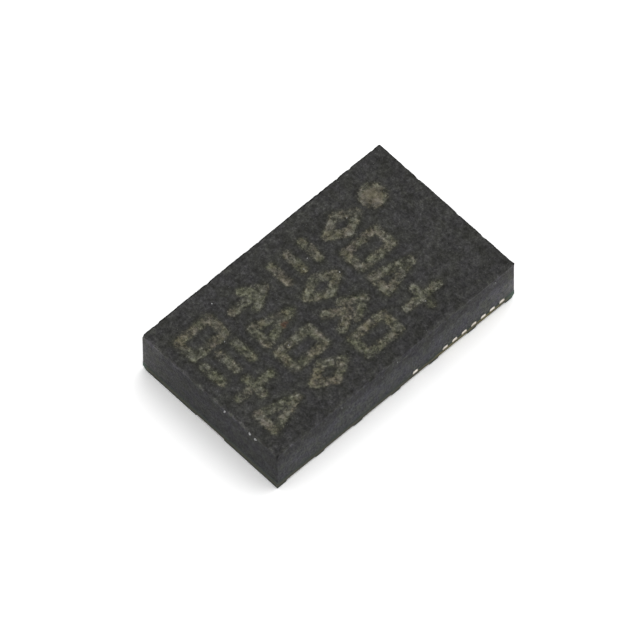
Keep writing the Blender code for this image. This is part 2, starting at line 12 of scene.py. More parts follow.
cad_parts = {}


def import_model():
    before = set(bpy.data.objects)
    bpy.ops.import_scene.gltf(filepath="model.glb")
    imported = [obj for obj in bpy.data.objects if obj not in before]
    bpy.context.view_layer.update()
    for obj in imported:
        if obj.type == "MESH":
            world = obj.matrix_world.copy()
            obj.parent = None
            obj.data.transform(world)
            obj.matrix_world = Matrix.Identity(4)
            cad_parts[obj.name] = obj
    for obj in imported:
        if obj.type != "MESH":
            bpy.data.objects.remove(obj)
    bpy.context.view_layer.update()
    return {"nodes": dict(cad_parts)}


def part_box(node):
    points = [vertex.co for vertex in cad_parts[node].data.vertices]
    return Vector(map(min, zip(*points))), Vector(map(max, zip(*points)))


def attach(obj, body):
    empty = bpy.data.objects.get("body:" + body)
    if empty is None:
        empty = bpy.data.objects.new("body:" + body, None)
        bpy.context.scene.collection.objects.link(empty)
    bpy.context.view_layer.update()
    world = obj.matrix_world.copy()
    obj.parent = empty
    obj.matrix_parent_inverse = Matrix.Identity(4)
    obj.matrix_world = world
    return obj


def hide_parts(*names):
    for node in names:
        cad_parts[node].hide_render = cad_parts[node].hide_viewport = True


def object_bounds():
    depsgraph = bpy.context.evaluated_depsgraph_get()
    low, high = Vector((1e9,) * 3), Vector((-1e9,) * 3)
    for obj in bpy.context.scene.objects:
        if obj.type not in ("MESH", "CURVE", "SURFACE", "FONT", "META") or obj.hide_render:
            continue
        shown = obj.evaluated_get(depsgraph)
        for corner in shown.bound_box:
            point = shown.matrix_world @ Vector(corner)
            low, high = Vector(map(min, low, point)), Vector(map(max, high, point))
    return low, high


MM = 0.001  # metres in a millimetre

# Camera, fitted to the chip's corners in the photograph
CAMERA_AZIMUTH = 47.128
CAMERA_ELEVATION = 58.36
CAMERA_ROLL = -0.706
CAMERA_DISTANCE = 275.0
CAMERA_CLIP = (10.0, 5000.0)
FRAME_PIXELS = 640
PIXELS_PER_MM = 65.36  # at the target, which is the middle of the chip
TARGET_PIXEL = (328.57, 315.45)
SENSOR_WIDTH = 36.0

# Light and floor
SKY_LIGHT = 0.68
KEY_LIGHT = 0.75
KEY_AZIMUTH = 178.0
KEY_ELEVATION = 58.0
KEY_SPREAD = 60.0  # width of the light in degrees
FLOOR_REACH = 600.0
FLOOR_DROP = 0.001  # how far the floor lies under the lands
FLOOR_SHADE = 0.80
FLOOR_SEEN = 1.58  # the floor's shade to the camera, which turns its lit part white

# Grid of the mould cap's skin
FINE_STEP = 0.008
COARSE_STEP = 0.020
FINE_BAND = 0.080  # width of the finer grid along each edge
SKIN_GAP = 0.003  # between the cap and the mask under it

# Wear of the cap's edges
FRONT_RADIUS = 0.022  # of the top edges above the +X and -Y walls, the more rubbed ones
BACK_RADIUS = 0.020
RADIUS_SPREAD = 0.017  # on a front edge, and in proportion on a back one
RADIUS_LIMITS = (0.005, 0.070)
FINE_WEAR = 0.7  # strength of the finer unevenness of the radius, against 1 for the coarser
NICK_DEPTH = 0.045  # what the deepest nicks add to an edge's radius
NICK_BAND = (0.08, 0.60)  # values of a noise between which a nick deepens
WALL_RADIUS = 0.014  # of the sawn upright edges
ROUND_FADE = 0.10  # height over which the radius grows to that of the top edge
CHIPPED_CORNER = (-1, -1)
CHIP_REACH = 0.07
CHIP_SPREAD = 0.3  # share of the reach
BURRED_CORNER = (1, 1)
BURR_REACH = 0.012
BURR_RISE = 0.3  # share of the reach
BURR_FADE = 0.025

# Relief of the cap's top
TOP_ROUGHNESS = 0.0016
RELIEF_BAND = (0.01, 0.06)  # distances from an edge between which the relief sets in
PIT = (1.12, -0.83)
PIT_RADIUS = 0.03
PIT_DEPTH = 0.010

# Laser marks
MARK_DEPTH = 0.008
MARK_SPREAD = 0.006  # how uneven their floor is
MARK_SLOPE = 0.012  # half the width of the slope at their border
MARK_STROKE = 0.125
MARK_REACH = 0.10  # how far from a stroke's border its distance is kept
DOT_RADIUS = 0.22
DOT_CENTRE = (-0.888, 1.781)
MARK_COLUMN_PITCH = 0.594
MARK_ROW_PITCH = 0.985
MARK_FIRST = (-0.834, 1.077)
MARK_WIDTH = 0.50
MARK_HEIGHT = 0.77

# Each mark is a list of strokes in a cell that runs from -1 to 1 both ways.
MARK_SHAPES = {
    "square": (((-1, -1), (1, -1)), ((1, -1), (1, 1)), ((1, 1), (-1, 1)), ((-1, 1), (-1, -1))),
    "triangle": (((-1, -1), (1, -1)), ((1, -1), (0, 1)), ((0, 1), (-1, -1))),
    "diamond": (((0, -1), (1, 0)), ((1, 0), (0, 1)), ((0, 1), (-1, 0)), ((-1, 0), (0, -1))),
    "bars": (((-1, -1), (1, -1)), ((-1, 0), (1, 0)), ((-1, 1), (1, 1))),
    "plus": (((-1, 0), (1, 0)), ((0, -1), (0, 1))),
    "chevrons": (((-1, 0), (0, 1)), ((0, 1), (1, 0)), ((-1, -1), (0, 0)), ((0, 0), (1, -1))),
    "arrow": (((0, -1), (0, 1)), ((-1, 0), (0, 1)), ((0, 1), (1, 0))),
}
MARK_LAYOUT = (
    ("diamond", "square", "triangle", "plus"),
    ("bars", "diamond", "chevrons", "square"),
    ("arrow", "triangle", "square", "diamond"),
    ("square", "bars", "plus", "triangle"),
)

# Look of the cap's top
PALE_STRIP = (-1.4, -0.9)  # across the top, from where it is palest to where that ends
PALE_STRENGTH = 1.08
DARK_STRIP = (0.7, 1.4)  # across the top, from where it begins to darken to where it is darkest
DARK_STRENGTH = 0.79
HALO_BAND = (-0.098, -0.015)  # depths, below 0 outside a mark, between which the halo round it grows
BURN_BAND = (-0.030, 0.022)  # depths between which the laser's colour sets in
BURN_FRAY = 0.026  # how far the noise shifts those depths
LIP_DEPTH = 0.014  # where the pale, once molten lip runs inside a mark's border, brightened as a painted highlight
LIP_HALF_WIDTH = 0.018
WARM_BAND = (1.1, 0.5)  # shares of the dot's radius between which its warmer middle sets in
RUST_SPOT = (-0.13, -0.775)
RUST_RADIUS = 0.10
RUST_CORE = 0.3  # share of its radius within which the rust is full

# Look of the cap's walls
WALL_BAND = (0.004, 0.04)  # depths below the top between which the walls' look sets in
PLANE_BAND = (0.02, 0.0)  # distances from a wall's plane between which a point comes to lie on it
SHEEN_BAND = (0.18, 0.44)  # depths below the top between which a long wall's sheen sets in
SHEEN_RAGGED = 0.11
SHORT_WALL_SHEEN = 0.35  # share of it that a short wall shows
SHADE_STRETCH = (-1.1, 1.5)  # along the short walls, between which their painted shade deepens
SHADE_RAGGED = 0.15
SHADE_CORNER = 0.8  # how strongly that goes on round the corner
SHADE_FADE = 0.30  # and how far
WEAR_BAND = (0.055, 0.012)  # distances from a top edge between which its pale wear and painted highlight set in
WEAR_RAGGED = 0.02
WEAR_DOWN = 0.7  # what the way down a wall counts for in that distance
WEAR_INWARD = 1.6  # what the way in from a wall counts for in it
LONG_EDGE_WEAR = 0.55  # share of the wear and painted highlight that the edges above the long walls show
SHADED_RIM_BAND = (0.036, 0.012)  # distances from a back edge between which its dark rim of painted shade sets in
LONG_SHADED_RIM = 0.9  # strength of the rim above the long wall at -X
SHORT_SHADED_RIM = 0.5  # and above the short wall at +Y
SCRATCH = (0.0, 0.24)  # from and to, along the long wall that shows
SCRATCH_HEIGHT = 0.795
SCRATCH_WIDTH = 0.016
SCUFF_AND_LIGHT_FADE = 0.42  # how far the scuffs and painted light at the two outer upright edges reach along the walls
SCUFFED_AND_LIT_CORNERS = ((-1, -1, 1.0), (1, 1, 0.75))  # their sides, and how strong the scuffs and painted light are

# Colours of the moulding, where a tint multiplies the colour under it
HALO_TINT = (0.70, 0.71, 0.50)
# painted highlight along the lip of a mark
LIP_HIGHLIGHT_TINT = (1.7, 1.7, 1.75)
# painted shade, multiplied onto the walls where that share lies
SHADE_TINT = (0.58, 0.58, 0.57)
# scuffs and painted light, paler towards the two outer upright edges
SCUFF_AND_LIGHT_TINT = (2.5, 2.42, 2.32)
# pale wear and painted highlight along the top edges, and the scratch
WEAR_AND_HIGHLIGHT_TINT = (2.25, 2.25, 2.25)
TOP_CASTS = ((1.02, 0.985, 1.02), (1.00, 1.01, 0.84))
WALL_CASTS = ((1.02, 0.95, 1.22), (1.00, 1.03, 0.82))
RUST_COLOUR = (0.088, 0.045, 0.028)
# painted shade of the rounded back edges
RIM_SHADE_COLOUR = (0.006, 0.006, 0.005)

# Look of the laminate and the masks
GOLDEN_STRETCH = (0.2, 0.9)  # along the laminate, between which it turns golden
GREEN_CORNER = (3.50, 3.70)  # products of X and Y between which two of the corners turn green

# Ends of the plating stubs, smeared by the saw
STUB_PLACES = (0.404, 1.037, 1.2375, 1.4375, 1.642, 1.842, 2.033, 2.2375)
STUB_SEED = 5
STUB_POINTS = 16
STUB_HALF_LENGTH = 0.049
STUB_LOW = 0.118
STUB_HIGH = 0.184
STUB_HEIGHT_SHARES = (0.82, 1.08)
STUB_OUTLINE_SHARES = (0.86, 1.06)
STUB_SQUARENESS = 0.6  # 0 gives an ellipse, and 1 a rectangle
STUB_FACE = 0.86  # share of its outline that the outer face takes
STUB_STANDS_OUT = 0.003

# Silica grains that show at the surface
GRAIN_SEED = 11
TOP_GRAINS = 260
WALL_GRAINS = 90
GRAIN_RADII = (0.004, 0.008)
GRAIN_SQUASH = (1.0, 0.8, 0.6)
GRAIN_SINK = 0.0015  # how far the middle of a scattered grain lies below the top
EDGE_KEEP = 0.06  # no scattered grain is nearer to an edge
PHOTO_GRAIN_RADIUS = 0.012
# glints on the walls are painted highlights: bright grains where the edges catch the light
GLINT_RADIUS = 0.032
TOP_PHOTO_GRAINS = (
    (-0.234, 0.459),
    (-0.756, 0.272),
    (-0.866, 1.209),
    (-1.169, -1.344),
    (-0.65, 0.10),
    (-0.54, -1.67),
    (0.18, -1.01),
    (1.05, 1.05),
)
SHORT_WALL_GLINTS = ((0.35, 0.905), (0.90, 0.905), (1.03, 0.895))
LONG_WALL_GLINTS = ((0.03, 0.84), (-1.14, 0.83), (2.10, 0.83))


# Numbers


def smooth(value, low, high):
    """0 at low and beyond, 1 at high and beyond, and a soft step between them."""
    part = np.clip((value - low) / (high - low), 0.0, 1.0)
    return part * part * (3 - 2 * part)


def noise_at(points, scale, seed, octaves):
    """Fractal noise from about -1 to 1 at each point, with features 1/scale millimetres across."""
    shift = Vector((seed * 17.31, seed * 5.77, seed * 11.13))
    total = np.zeros(len(points))
    for k, point in enumerate(points):
        total[k] = noise.fractal(Vector(point) * scale + shift, 0.9, 2.1, octaves)
    return total


def spaced(low, high):
    """Grid lines from low to high, closer together near both ends."""
    fine = np.arange(0, FINE_BAND, FINE_STEP)
    middle = high - low - 2 * FINE_BAND
    count = max(1, round(middle / COARSE_STEP))
    inner = low + FINE_BAND + middle * np.arange(count + 1) / count
    return np.concatenate([low + fine, inner, (high - fine)[::-1]])


# Shape of the mould cap


def mark_strokes():
    """Every stroke of the laser marks, as a pair of points on the top."""
    half = np.array([(MARK_WIDTH - MARK_STROKE) / 2, (MARK_HEIGHT - MARK_STROKE) / 2])
    strokes = []
    for row, names in enumerate(MARK_LAYOUT):
        for column, name in enumerate(names):
            centre = np.array(MARK_FIRST) + (column * MARK_COLUMN_PITCH, -row * MARK_ROW_PITCH)
            strokes += [(centre + half * start, centre + half * end) for start, end in MARK_SHAPES[name]]
    return strokes


def stroke_distance(plan, start, end):
    """Distance of each point of the top from a stroke's middle line."""
    along = end - start
    part = np.clip((plan - start) @ along / (along @ along), 0, 1)
    return np.linalg.norm(plan - start - part[:, None] * along, axis=1)


def depth_in_marks(plan):
    """Distance of each point of the top inside the border of a laser mark, below 0 outside."""
    inside = DOT_RADIUS - np.linalg.norm(plan - np.array(DOT_CENTRE), axis=1)
    for start, end in mark_strokes():
        near = np.abs(plan - (start + end) / 2).max(axis=1) < MARK_HEIGHT
        depth = MARK_STROKE / 2 - stroke_distance(plan[near], start, end)
        inside[near] = np.maximum(inside[near], depth)
    return np.clip(inside, -MARK_REACH, MARK_REACH)


def wall_strip(below, above):
    """Faces between two rows of points that go all round."""
    count = len(below)
    return [(below[k], below[(k + 1) % count], above[(k + 1) % count], above[k]) for k in range(count)]


def cap_grid(low, high):
    """Points and faces of a closed box, gridded on its top and four walls, with one face below.

    The points of the top come first, and their number is given too."""
    xs = spaced(low.x, high.x)
    ys = spaced(low.y, high.y)
    zs = spaced(low.z, high.z)
    across, along = len(xs), len(ys)
    points = [(x, y, high.z) for y in ys for x in xs]
    rim = list(range(across))
    rim += [across * j + across - 1 for j in range(1, along)]
    rim += [across * (along - 1) + i for i in range(across - 2, -1, -1)]
    rim += [across * j for j in range(along - 2, 0, -1)]
    faces = [
        (across * j + i, across * j + i + 1, across * (j + 1) + i + 1, across * (j + 1) + i)
        for j in range(along - 1)
        for i in range(across - 1)
    ]
    above = rim
    for z in zs[-2::-1]:
        below = list(range(len(points), len(points) + len(rim)))
        points += [(points[k][0], points[k][1], z) for k in rim]
        faces += wall_strip(below, above)
        above = below
    faces.append(tuple(reversed(above)))
    return np.array(points), faces, across * along


def top_radii(points, high):
    """Radius of the top edge near each point: uneven, and greater along the two front edges."""
    to_front = np.minimum(high.x - points[:, 0], points[:, 1] + high.y)
    to_back = np.minimum(points[:, 0] + high.x, high.y - points[:, 1])
    base = np.where(to_front < to_back, FRONT_RADIUS, BACK_RADIUS)
    coarse = noise_at(points, 5.0, seed=1, octaves=4)
    uneven = coarse + FINE_WEAR * noise_at(points, 24.0, seed=2, octaves=3)
    nicks = NICK_DEPTH * smooth(noise_at(points, 7.0, seed=3, octaves=2), *NICK_BAND)
    return np.clip(base + RADIUS_SPREAD * base / FRONT_RADIUS * uneven + nicks, *RADIUS_LIMITS)


def rounded(points, low, high):
    """Rounds the box's edges: those of the top unevenly, the upright ones just off sharp."""
    lift = smooth(points[:, 2], high.z - ROUND_FADE, high.z)
    radius = (WALL_RADIUS + (top_radii(points, high) - WALL_RADIUS) * lift)[:, None]
    inner_low = np.array([low.x, low.y, -math.inf]) + radius
    inner_high = np.array(high) - radius
    core = np.clip(points, inner_low, inner_high)
    out = points - core
    length = np.linalg.norm(out, axis=1, keepdims=True)
    beyond = length[:, 0] > 0
    moved = points.copy()
    moved[beyond] = core[beyond] + out[beyond] / length[beyond] * radius[beyond]
    return moved


def chipped(points, high):
    """Breaks the weak corner of the top away along a slanting, uneven face."""
    moved = points.copy()
    sides = np.array([*CHIPPED_CORNER, 1])
    corner = sides * np.array(high)
    slant = sides / math.sqrt(3)
    near = np.linalg.norm(moved - corner, axis=1) < 3 * CHIP_REACH
    bite = CHIP_REACH * (1 + CHIP_SPREAD * noise_at(moved[near], 20.0, seed=5, octaves=3))
    excess = (moved[near] - corner) @ slant + bite / math.sqrt(3)
    moved[near] -= np.maximum(excess, 0)[:, None] * slant
    return moved


def burred(points, high):
    """Draws the top corner where the saw came out into a small burr."""
    corner = np.array([*BURRED_CORNER, 1]) * np.array(high)
    near = np.exp(-np.linalg.norm(points - corner, axis=1) / BURR_FADE)
    return points + BURR_REACH * near[:, None] * np.array([*BURRED_CORNER, BURR_RISE])


def top_relief(points, marks):
    """How far each point of the top lies below the flat: roughness, laser marks and one pit."""
    rough = TOP_ROUGHNESS * (1 + noise_at(points, 28.0, seed=7, octaves=3))
    floor = MARK_DEPTH + MARK_SPREAD * noise_at(points, 45.0, seed=9, octaves=2)
    burnt = smooth(marks, -MARK_SLOPE, MARK_SLOPE) * floor
    from_pit = np.linalg.norm(points[:, :2] - np.array(PIT), axis=1)
    return rough + burnt + PIT_DEPTH * smooth(from_pit, PIT_RADIUS, 0)


# Where the cap's looks set in, as a share from 0 to 1 at each point


def sheen_share(depth, to_long, to_short, ragged):
    """The sheen of the sawn walls, which their upper part lacks: a real gloss, with a painted reflection
    in their colour.
    """
    sheen = smooth(depth + SHEEN_RAGGED * ragged, *SHEEN_BAND)
    sheen = sheen * np.where(to_long < to_short, 1.0, SHORT_WALL_SHEEN)
    return sheen * smooth(np.minimum(to_long, to_short), *PLANE_BAND)


def painted_shade_share(points, high, to_short, ragged, wall):
    """Painted shade: the darker part of the short walls, and of the long ones next to it."""
    on_short = smooth(points[:, 0] + SHADE_RAGGED * ragged, *SHADE_STRETCH) * smooth(to_short, *PLANE_BAND)
    past_corner = SHADE_CORNER * np.exp(-(points[:, 1] + high.y) / SHADE_FADE) * wall
    return np.maximum(on_short, past_corner)


def edge_wear_and_highlight(points, depth, to_long, to_short, ragged):
    """The pale, flaky wear along the edges of the top, together with a painted highlight of their
    rounding.
    """
    from_edge = WEAR_DOWN * depth + WEAR_INWARD * np.minimum(to_long, to_short)
    flaky = WEAR_RAGGED * (ragged + noise_at(points, 16.0, seed=23, octaves=3))
    return smooth(from_edge + flaky, *WEAR_BAND) * np.where(to_short < to_long, 1.0, LONG_EDGE_WEAR)


def scratch_share(points, high):
    """The scratch on the long wall that shows."""
    along = points[:, 1] - np.clip(points[:, 1], *SCRATCH)
    up = points[:, 2] - SCRATCH_HEIGHT
    away = np.sqrt(along ** 2 + up ** 2 + (points[:, 0] - high.x) ** 2)
    return smooth(away, 1.5 * SCRATCH_WIDTH, 0.5 * SCRATCH_WIDTH)


def scuff_and_light_share(points, high):
    """Scuffs and painted light beside two of the upright edges."""
    scuff_and_light = np.zeros(len(points))
    for side_x, side_y, strength in SCUFFED_AND_LIT_CORNERS:
        away = np.hypot(points[:, 0] - side_x * high.x, points[:, 1] - side_y * high.y)
        scuff_and_light = np.maximum(scuff_and_light, strength * np.exp(-away / SCUFF_AND_LIGHT_FADE))
    return scuff_and_light


def shaded_rim_share(points, high):
    """Painted shade: the dark rim of the two back edges of the top, where their rounding lies in shade."""
    twice_depth = 2 * (high.z - points[:, 2])
    long_side = smooth(twice_depth + points[:, 0] + high.x, *SHADED_RIM_BAND)
    short_side = smooth(twice_depth + high.y - points[:, 1], *SHADED_RIM_BAND)
    return np.maximum(LONG_SHADED_RIM * long_side, SHORT_SHADED_RIM * short_side)


def wall_looks(points, high):
    """Shares for the looks of the walls and of the edges above them."""
    depth = high.z - points[:, 2]
    to_long = high.x - np.abs(points[:, 0])
    to_short = high.y - np.abs(points[:, 1])
    ragged = noise_at(points, 4.0, seed=21, octaves=3)
    wall = smooth(depth, *WALL_BAND)
    rim = shaded_rim_share(points, high)
    worn = edge_wear_and_highlight(points, depth, to_long, to_short, ragged) * (1 - rim)
    return {
        "wall": wall,
        "sheen": sheen_share(depth, to_long, to_short, ragged),
        "painted_shade": painted_shade_share(points, high, to_short, ragged, wall),
        "worn": np.maximum(worn, scratch_share(points, high)),
        "scuff_and_light": scuff_and_light_share(points, high) * wall,
        "rim": rim,
    }


def spot_looks(points):
    """Shares for the warmer middle of the dot and for the rust spot."""
    from_dot = np.linalg.norm(points[:, :2] - np.array(DOT_CENTRE), axis=1)
    from_spot = np.linalg.norm(points[:, :2] - np.array(RUST_SPOT), axis=1)
    uneven = 1 + 0.5 * noise_at(points, 14.0, seed=31, octaves=3)
    start, full = WARM_BAND
    return {
        "warm": smooth(from_dot * uneven, start * DOT_RADIUS, full * DOT_RADIUS),
        "rust": smooth(from_spot * uneven, RUST_RADIUS, RUST_CORE * RUST_RADIUS),
    }


# Pieces


def add_shares(mesh, shares):
    """Stores named shares at the points of a mesh, for its material to read."""
    for name, values in shares.items():
        layer = mesh.attributes.new(name, "FLOAT", "POINT")
        layer.data.foreach_set("value", values.astype(np.float32))


def show(name, mesh, material):
    """Puts a piece of the object in the scene, riding on the one body."""
    piece = bpy.data.objects.new(name, mesh)
    bpy.context.scene.collection.objects.link(piece)
    mesh.materials.append(material)
    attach(piece, "root")
    return piece


def cap_box():
    """Corners of the mould cap in millimetres, with its foot just above the mask."""
    low, high = (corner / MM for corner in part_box("mould_cap"))
    low.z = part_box("solder_mask_top")[1].z / MM + SKIN_GAP
    return low, high


def build_cap(material):
    """The moulding: a matt top with sunk laser marks, sawn walls, and chipped, rounded edges that are pale
    from wear and painted highlight.
    """
    low, high = cap_box()
    points, faces, top_count = cap_grid(low, high)
    top = points[:top_count]
    marks = np.full(len(points), -MARK_REACH)
    marks[:top_count] = depth_in_marks(top[:, :2])
    to_edge = np.minimum(high.x - np.abs(top[:, 0]), high.y - np.abs(top[:, 1]))

    shaped = burred(chipped(rounded(points, low, high), high), high)
    shaped[:top_count, 2] -= top_relief(top, marks[:top_count]) * smooth(to_edge, *RELIEF_BAND)

    mesh = bpy.data.meshes.new("mould_cap_skin")
    mesh.from_pydata((shaped * MM).tolist(), [], faces)
    mesh.shade_smooth()
    add_shares(mesh, {"mark_depth": marks, **spot_looks(points), **wall_looks(points, high)})
    skin = show("mould_cap_skin", mesh, material)
    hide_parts("mould_cap")


def mesh_of(work, name):
    """A mesh in metres of work in millimetres."""
    bmesh.ops.scale(work, vec=(MM, MM, MM), verts=work.verts)
    mesh = bpy.data.meshes.new(name)
    work.to_mesh(mesh)
    work.free()
    return mesh


def add_grain(work, place, radius, turn):
    """A silica grain: a small lump, squashed and turned, with its middle at the place."""
    squash = Matrix.Diagonal([radius * part for part in GRAIN_SQUASH]).to_4x4()
    rotation = Matrix.Rotation(turn, 4, "Z") @ Matrix.Rotation(turn * 3, 4, "X")
    shape = Matrix.Translation(place) @ rotation @ squash
    bmesh.ops.create_icosphere(work, subdivisions=1, radius=1.0, matrix=shape)


def on_wall(k, x, y, high):
    """Moves a place out to a wall: every third one to a short wall, the rest to the long ones."""
    if k % 3 == 0:
        return x, high.y * (1 if k % 2 else -1)
    return high.x * (1 if k % 3 == 1 else -1), y


def scatter_grains(work, low, high):
    """Grains all over the top and the walls, away from the edges."""
    chance = random.Random(GRAIN_SEED)
    for k in range(TOP_GRAINS + WALL_GRAINS):
        x = chance.uniform(low.x + EDGE_KEEP, high.x - EDGE_KEEP)
        y = chance.uniform(low.y + EDGE_KEEP, high.y - EDGE_KEEP)
        z = high.z - GRAIN_SINK
        if k >= TOP_GRAINS:
            z = chance.uniform(low.z + EDGE_KEEP, high.z - EDGE_KEEP)
            x, y = on_wall(k, x, y, high)
        add_grain(work, (x, y, z), chance.uniform(*GRAIN_RADII), chance.uniform(0, math.tau))


def build_grains(dull, bright):
    """Scattered dull grains, and the bright ones that the photograph shows."""
    low, high = cap_box()
    scattered = bmesh.new()
    scatter_grains(scattered, low, high)
    show("silica_grains", mesh_of(scattered, "silica_grains"), dull)

    placed = bmesh.new()
    places = [((x, y, high.z), PHOTO_GRAIN_RADIUS) for x, y in TOP_PHOTO_GRAINS]
    # painted highlights: bright grains as glints high on the walls
    places += [((x, low.y, z), GLINT_RADIUS) for x, z in SHORT_WALL_GLINTS]
    places += [((high.x, y, z), PHOTO_GRAIN_RADIUS) for y, z in LONG_WALL_GLINTS]
    for k, (place, radius) in enumerate(places):
        add_grain(placed, place, radius, k)
    show("bright_grains", mesh_of(placed, "bright_grains"), bright)


def add_smear(work, centre, chance):
    """A thin uneven flake of metal, flat against the +X wall."""
    half_height = (STUB_HIGH - STUB_LOW) / 2 * chance.uniform(*STUB_HEIGHT_SHARES)
    outer, inner = [], []
    for k in range(STUB_POINTS):
        turn = math.tau * k / STUB_POINTS
        squared = max(abs(math.cos(turn)), abs(math.sin(turn))) ** STUB_SQUARENESS
        reach = chance.uniform(*STUB_OUTLINE_SHARES) / squared
        y = STUB_HALF_LENGTH * math.cos(turn) * reach
        z = half_height * math.sin(turn) * reach
        inner.append(work.verts.new(centre + Vector((0, y, z))))
        outer.append(work.verts.new(centre + Vector((STUB_STANDS_OUT, y * STUB_FACE, z * STUB_FACE))))
    work.faces.new(outer)
    for k in range(STUB_POINTS):
        after = (k + 1) % STUB_POINTS
        work.faces.new((inner[k], inner[after], outer[after], outer[k]))


def build_stub_ends(metal):
    """The plating that the saw smeared over the end of each stub."""
    chance = random.Random(STUB_SEED)
    work = bmesh.new()
    wall = cap_box()[1].x
    for y in STUB_PLACES:
        add_smear(work, Vector((wall, y, (STUB_LOW + STUB_HIGH) / 2)), chance)
    show("smeared_stub_ends", mesh_of(work, "smeared_stub_ends"), metal)


# Shader nodes


def connect(tree, socket, value):
    """Gives a socket a number, a colour or the output of another node."""
    if isinstance(value, bpy.types.NodeSocket):
        tree.links.new(value, socket)
    elif isinstance(value, tuple) and len(socket.default_value) == 4:
        socket.default_value = (*value, 1)
    else:
        socket.default_value = value


def add_node(tree, kind, inputs=None, **settings):
    """A new node with its inputs connected and its settings made."""
    made = tree.nodes.new(kind)
    for name, value in settings.items():
        setattr(made, name, value)
    for key, value in (inputs or {}).items():
        connect(tree, made.inputs[key], value)
    return made


def coordinates(tree, stretch=(1, 1, 1)):
    """The object's own coordinates in millimetres, stretched along its axes."""
    source = add_node(tree, "ShaderNodeTexCoord")
    scale = tuple(value / MM for value in stretch)
    inputs = {"Vector": source.outputs["Object"], "Scale": scale}
    return add_node(tree, "ShaderNodeMapping", inputs).outputs["Vector"]


def along_axis(tree, place, axis):
    return add_node(tree, "ShaderNodeSeparateXYZ", {"Vector": place}).outputs[axis]


def noise_value(tree, place, scale, detail=3.0, roughness=0.6):
    """Noise from 0 to 1, mostly near 0.5, with features 1/scale millimetres across."""
    inputs = {"Vector": place, "Scale": scale, "Detail": detail, "Roughness": roughness}
    return add_node(tree, "ShaderNodeTexNoise", inputs).outputs["Fac"]


def share(tree, name):
    """A share that the cap's skin carries at its points."""
    return add_node(tree, "ShaderNodeAttribute", attribute_name=name).outputs["Fac"]


def ramp(tree, factor, stops):
    """Colours at places from 0 to 1, blended between; a single number is a grey."""
    made = add_node(tree, "ShaderNodeValToRGB", {"Fac": factor})
    elements = made.color_ramp.elements
    while len(elements) < len(stops):
        elements.new(0.5)
    for element, (place, shade) in zip(elements, stops):
        element.position = place
        element.color = (*shade, 1) if isinstance(shade, tuple) else (shade, shade, shade, 1)
    return made.outputs["Color"]


def mix(tree, factor, first, second, mode="MIX"):
    """Two colours mixed, for which the node keeps inputs 6 and 7 and output 2."""
    made = add_node(tree, "ShaderNodeMix", data_type="RGBA", blend_type=mode)
    for index, value in ((0, factor), (6, first), (7, second)):
        connect(tree, made.inputs[index], value)
    return made.outputs[2]


def multiply(tree, first, second):
    return mix(tree, 1.0, first, second, "MULTIPLY")


def calculate(tree, operation, first, second=0.0):
    """One step of arithmetic; an operation on one number ignores the second."""
    return add_node(tree, "ShaderNodeMath", {0: first, 1: second}, operation=operation).outputs[0]


def blend(tree, first, second, portion):
    """Portion of the second value, and the rest of the first."""
    rest = calculate(tree, "MULTIPLY", first, 1 - portion)
    return calculate(tree, "ADD", rest, calculate(tree, "MULTIPLY", second, portion))


def map_range(tree, value, old, new):
    """Carries a value over from one range to another, and holds it at the ends."""
    inputs = {"Value": value, "From Min": old[0], "From Max": old[1], "To Min": new[0], "To Max": new[1]}
    return add_node(tree, "ShaderNodeMapRange", inputs).outputs["Result"]


def bump(tree, height, distance, below=None):
    """Bump of a height from 0 to 1, its full depth given in millimetres."""
    inputs = {"Height": height, "Distance": distance * MM}
    if below:
        inputs["Normal"] = below
    return add_node(tree, "ShaderNodeBump", inputs).outputs["Normal"]


def new_material(name):
    material = bpy.data.materials.new(name)
    material.use_nodes = True
    return material, material.node_tree, material.node_tree.nodes["Principled BSDF"]


def dress(tree, shader, colour, roughness, normal, metallic=0.0, specular=0.5):
    """Gives a surface shader its look, each part of it a number, a colour or a node's output."""
    inputs = {
        "Base Color": colour,
        "Roughness": roughness,
        "Normal": normal,
        "Metallic": metallic,
        "Specular IOR Level": specular,
    }
    for name, value in inputs.items():
        connect(tree, shader.inputs[name], value)


# Material of the moulding


def bare_epoxy(tree, place, speckle):
    """Black epoxy, speckled at every scale, a little paler at -X and darker at +X."""
    dark = (0.0120, 0.0119, 0.0108)
    grey = ramp(tree, speckle, ((0.32, dark), (0.50, 0.0225), (0.62, 0.042), (0.70, 0.080)))
    cloud = map_range(tree, noise_value(tree, place, 2.2, 2.0), (0.3, 0.7), (0.86, 1.14))
    across = along_axis(tree, place, "X")
    left = map_range(tree, across, PALE_STRIP, (PALE_STRENGTH, 1.0))
    right = map_range(tree, across, DARK_STRIP, (1.0, DARK_STRENGTH))
    return multiply(tree, multiply(tree, grey, cloud), calculate(tree, "MULTIPLY", left, right))


def tinted(tree, place, colour, casts):
    """Lets a colour drift between two casts."""
    first, second = casts
    drift = noise_value(tree, place, 4.0, 3.0, 0.8)
    return multiply(tree, colour, ramp(tree, drift, ((0.38, first), (0.62, second))))


